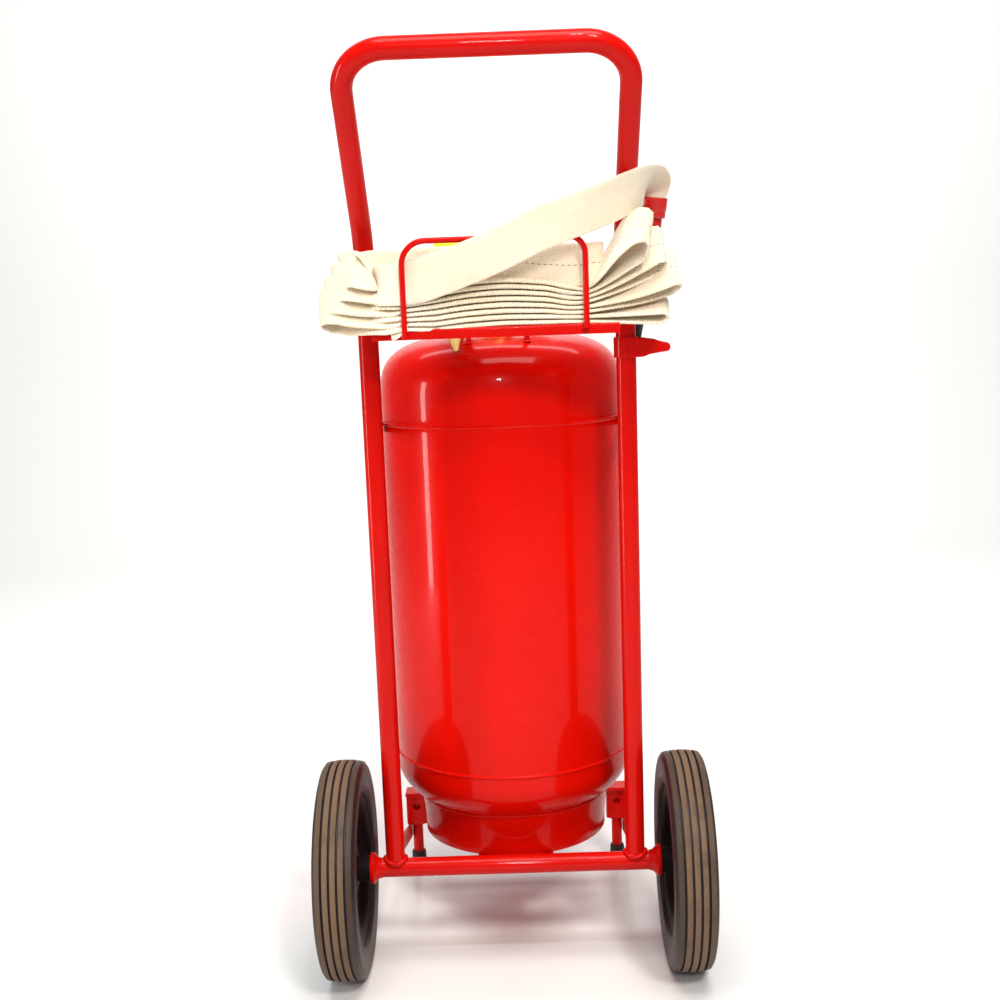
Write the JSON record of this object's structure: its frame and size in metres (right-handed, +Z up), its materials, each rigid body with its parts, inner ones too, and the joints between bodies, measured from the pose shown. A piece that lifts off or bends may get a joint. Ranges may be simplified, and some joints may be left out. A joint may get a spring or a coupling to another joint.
{
  "type": "wheeled fire extinguisher",
  "caption": "Red dry-powder extinguisher on a bent-tube trolley with rubber wheels, front feet, a lever valve and a flat canvas hose flaked on a shelf.",
  "frame": {"origin": "on the floor, at the middle of the outline in plan without the hose", "axes": "+Z up; +Y from the grip towards the tank and front feet; +X to the right of someone standing at the grip"},
  "size_m": [0.447, 0.4618, 1.0087],
  "materials": {
    "trolley_paint": "gloss red enamel on steel tube and sheet",
    "tank_paint": "high-gloss red enamel on welded steel",
    "tyre_rubber": "worn black rubber, dusty tread",
    "foot_rubber": "matt black rubber",
    "wheel_steel": "black painted pressed steel",
    "nylon": "natural nylon bearing",
    "zinc_steel": "zinc-plated or plain steel",
    "brass": "cast and turned brass",
    "yellow_vinyl": "yellow vinyl grip",
    "dial_white": "white dial with a green sector, no text",
    "black_plastic": "black moulded plastic",
    "gauge_glass": "clear window",
    "red_plastic": "red moulded nozzle",
    "hose_canvas": "off-white woven canvas, brown centre line"
  },
  "bodies": {
    "trolley": {"axle_flange_left": "trolley_paint", "axle_flange_right": "trolley_paint", "axle_rod": "zinc_steel", "axle_tube": "trolley_paint", "base_bar_front": "trolley_paint", "base_bar_rear": "trolley_paint", "dip_tube": "zinc_steel", "drain_plug": "brass", "frame_tube": "trolley_paint", "front_arm_left": "trolley_paint", "front_arm_right": "trolley_paint", "front_bracket_left": "trolley_paint", "front_bracket_right": "trolley_paint", "front_foot_left": "foot_rubber", "front_foot_right": "foot_rubber", "front_leg_left": "trolley_paint", "front_leg_right": "trolley_paint", "gauge_case": "brass", "gauge_dial": "dial_white", "gauge_lens": "gauge_glass", "hose_bail": "trolley_paint", "hose_coupling": "brass", "hose_feed": "hose_canvas", "hose_pack": "hose_canvas", "hose_shelf": "trolley_paint", "hose_strip": "hose_canvas", "lifting_lug_far": "tank_paint", "lifting_lug_near": "tank_paint", "neck_boss": "tank_paint", "nozzle_body": "red_plastic", "nozzle_bracket": "trolley_paint", "nozzle_coupling": "red_plastic", "nozzle_tip": "black_plastic", "outlet_elbow": "brass", "split_pin_left": "zinc_steel", "split_pin_right": "zinc_steel", "tank_barrel": "tank_paint", "tank_bottom_dome": "tank_paint", "tank_foot_ring": "tank_paint", "tank_lug_left": "trolley_paint", "tank_lug_right": "trolley_paint", "tank_top_dome": "tank_paint", "valve_body": "brass", "wheel_washer_left": "zinc_steel", "wheel_washer_right": "zinc_steel"},
    "wheel_left": {"tyre_left": "tyre_rubber", "wheel_disc_left": "wheel_steel", "wheel_hub_left": "wheel_steel", "wheel_bush_left": "nylon"},
    "wheel_right": {"tyre_right": "tyre_rubber", "wheel_disc_right": "wheel_steel", "wheel_hub_right": "wheel_steel", "wheel_bush_right": "nylon"},
    "valve_lever": {"valve_lever": "zinc_steel", "lever_sleeve": "yellow_vinyl", "valve_stem": "zinc_steel", "valve_ball": "zinc_steel"},
    "safety_pin": {"safety_pin": "zinc_steel"},
    "gauge_needle": {"gauge_needle": "black_plastic"},
    "nozzle_lever": {"nozzle_lever": "black_plastic"}
  },
  "joints": [
    {"name": "wheel_left_spin", "type": "hinge", "parent": "trolley", "child": "wheel_left", "pos_m": [-0.1946, -0.0696, 0.125], "axis": [1, 0, 0], "continuous": true},
    {"name": "wheel_right_spin", "type": "hinge", "parent": "trolley", "child": "wheel_right", "pos_m": [0.1946, -0.0696, 0.125], "axis": [1, 0, 0], "continuous": true},
    {"name": "valve_lever_turn", "type": "hinge", "parent": "trolley", "child": "valve_lever", "pos_m": [0, 0.087, 0.765], "axis": [0, 0, 1], "range_deg": [-90, 0]},
    {"name": "safety_pin_pull", "type": "slide", "parent": "trolley", "child": "safety_pin", "axis": [0, 0, 1], "range_m": [0, 0.04]},
    {"name": "gauge_needle_turn", "type": "hinge", "parent": "trolley", "child": "gauge_needle", "pos_m": [0.048, 0.081, 0.765], "axis": [0, -1, 0], "range_deg": [-120, 120]},
    {"name": "nozzle_lever_turn", "type": "hinge", "parent": "trolley", "child": "nozzle_lever", "pos_m": [0.16446, -0.05971, 0.8218], "axis": [0.0089, 0.9913, 0.131], "range_deg": [-90, 0]}
  ]
}
